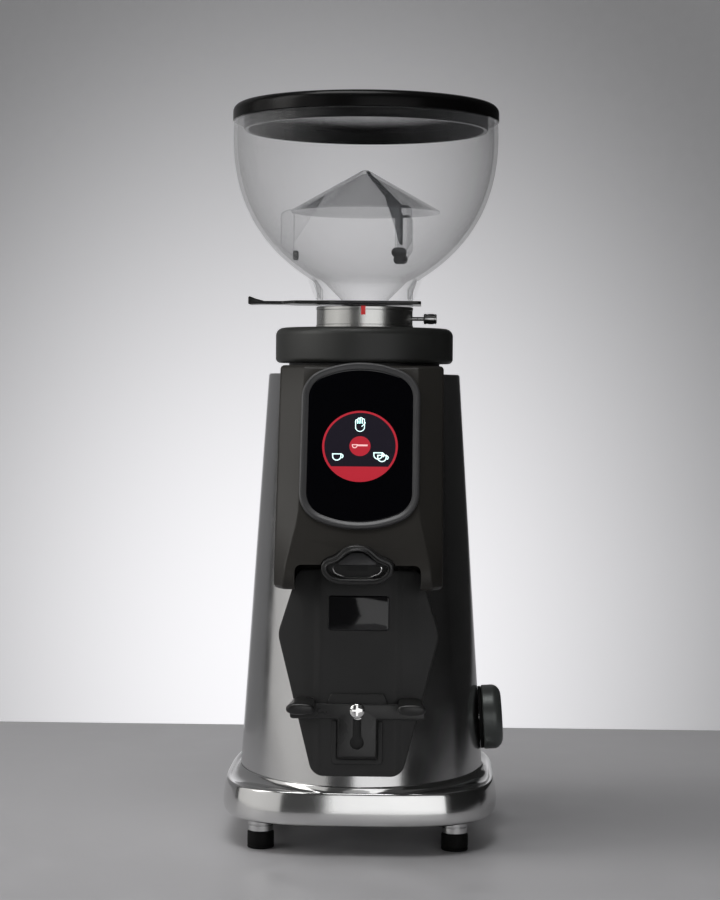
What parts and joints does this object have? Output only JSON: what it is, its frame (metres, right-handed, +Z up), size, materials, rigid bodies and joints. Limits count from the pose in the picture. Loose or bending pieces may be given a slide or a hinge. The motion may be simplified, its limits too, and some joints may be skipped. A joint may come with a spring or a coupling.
{
  "type": "burr coffee grinder",
  "caption": "Upright espresso grinder with a clear bean hopper, a leaning touch panel, a portafilter fork under the spout and a polished tapered body on a cast base.",
  "frame": {"origin": "on the table, where the hopper's and burrs' axis meets it, which is the middle of the object's box seen from above", "axes": "+Z up along the hopper's axis, -Y towards the person at the screen, +X towards the side knob"},
  "size_m": [0.1777, 0.24, 0.4615],
  "materials": {
    "rubber": "matte moulded rubber",
    "steel": "bright zinc plated",
    "chrome": "polished",
    "cast_aluminium": "hand polished casting",
    "shell_steel": "polished, faint vertical grain",
    "collar_steel": "turned",
    "hood_plastic": "satin moulded",
    "black_plastic": "moulded",
    "bezel_plastic": "satin",
    "screen_glass": "polished black glass",
    "display": "display",
    "circuit": "solder mask",
    "spout_plastic": "satin moulded",
    "flap_rubber": "silicone",
    "plate_black": "fine matte powder coat",
    "sensor_black": "polished",
    "machined_aluminium": "machined",
    "knob_black": "satin anodised",
    "switch_plastic": "moulded",
    "ring_black": "fine textured",
    "red_mark": "enamel",
    "clear_plastic": "clear moulded plastic",
    "gate_black": "moulded",
    "lid_black": "gloss",
    "burr_steel": "hardened, ground",
    "core_iron": "laminated",
    "copper": "enamelled copper wire"
  },
  "bodies": {
    "housing": {"rubber_feet": "rubber", "foot_collars": "steel", "foot_screws": "steel", "bottom_plate": "black_plastic", "base_casting": "cast_aluminium", "body_shell": "shell_steel", "front_hood": "hood_plastic", "screen_bezel": "bezel_plastic", "screen_glass": "screen_glass", "display_module": "display", "control_board": "circuit", "spout": "spout_plastic", "chute": "black_plastic", "back_plate": "plate_black", "plate_studs": "steel", "sensor_window": "sensor_black", "fork_post": "steel", "load_cell": "machined_aluminium", "load_cell_bracket": "machined_aluminium", "knob_washer": "black_plastic", "rotary_switch": "switch_plastic", "thrust_ring": "black_plastic", "grinding_chamber": "machined_aluminium", "guide_pins": "steel", "chamber_pedestal": "machined_aluminium", "motor_can": "machined_aluminium", "motor_end_caps": "machined_aluminium", "motor_bolts": "steel", "motor_mounts": "rubber", "top_cover": "black_plastic", "stator_core": "core_iron", "stator_windings": "copper", "bearings": "steel", "start_capacitor": "switch_plastic", "power_board": "circuit", "cable_gland": "black_plastic"},
    "grind_ring": {"adjustment_ring": "ring_black"},
    "burr_carrier": {"upper_burr_carrier": "machined_aluminium", "upper_burr": "burr_steel", "upper_burr_screws": "steel", "hopper_collar": "collar_steel", "index_mark": "red_mark"},
    "lock_screw": {"lock_screw": "steel"},
    "hopper": {"hopper": "clear_plastic", "bean_baffle": "clear_plastic", "baffle_clips": "gate_black"},
    "gate": {"gate_slide": "gate_black"},
    "lid": {"hopper_lid": "lid_black"},
    "rotor": {"motor_shaft": "steel", "rotor_core": "core_iron", "cooling_fan": "black_plastic", "lower_burr_carrier": "machined_aluminium", "lower_burr": "burr_steel", "lower_burr_screws": "steel", "burr_nut": "steel"},
    "power_knob": {"power_knob": "knob_black", "switch_shaft": "steel"},
    "fork": {"fork": "plate_black"},
    "fork_screw": {"fork_screw": "chrome"},
    "spout_flap": {"spout_flap": "flap_rubber"}
  },
  "joints": [
    {"name": "ring_turn", "type": "hinge", "parent": "housing", "child": "grind_ring", "pos_m": [0, 0, 0.305], "axis": [0, 0, 1], "range_deg": [-90, 270]},
    {"name": "carrier_feed", "type": "slide", "parent": "housing", "child": "burr_carrier", "axis": [0, 0, 1], "range_m": [-0.00038, 0.00112]},
    {"name": "lock_screw_turn", "type": "hinge", "parent": "burr_carrier", "child": "lock_screw", "pos_m": [0.034, 0, 0.3264], "axis": [1, 0, 0], "continuous": true},
    {"name": "hopper_lift", "type": "slide", "parent": "burr_carrier", "child": "hopper", "axis": [0, 0, 1], "range_m": [0, 0.025]},
    {"name": "gate_slide", "type": "slide", "parent": "hopper", "child": "gate", "axis": [1, 0, 0], "range_m": [0, 0.0305]},
    {"name": "lid_lift", "type": "slide", "parent": "hopper", "child": "lid", "axis": [0, 0, 1], "range_m": [0, 0.04]},
    {"name": "rotor_spin", "type": "hinge", "parent": "housing", "child": "rotor", "pos_m": [0, 0, 0.12], "axis": [0, 0, 1], "continuous": true},
    {"name": "power_knob_turn", "type": "hinge", "parent": "housing", "child": "power_knob", "pos_m": [0.07553, 0.00764, 0.0708], "axis": [0.9978, 0, 0.0659], "range_deg": [0, 90]},
    {"name": "fork_height", "type": "slide", "parent": "housing", "child": "fork", "axis": [0, 0.1309, 0.9914], "range_m": [0, 0.018]},
    {"name": "fork_screw_turn", "type": "hinge", "parent": "housing", "child": "fork_screw", "pos_m": [0, -0.09126, 0.08852], "axis": [0, -0.9914, 0.1309], "continuous": true},
    {"name": "flap_swing", "type": "hinge", "parent": "housing", "child": "spout_flap", "pos_m": [0, -0.0999, 0.184], "axis": [-1, 0, 0], "range_deg": [0, 35]}
  ],
  "couplings": [
    {"joint": "ring_turn", "follows": "carrier_feed", "rad_per_m": 4188.8}
  ]
}
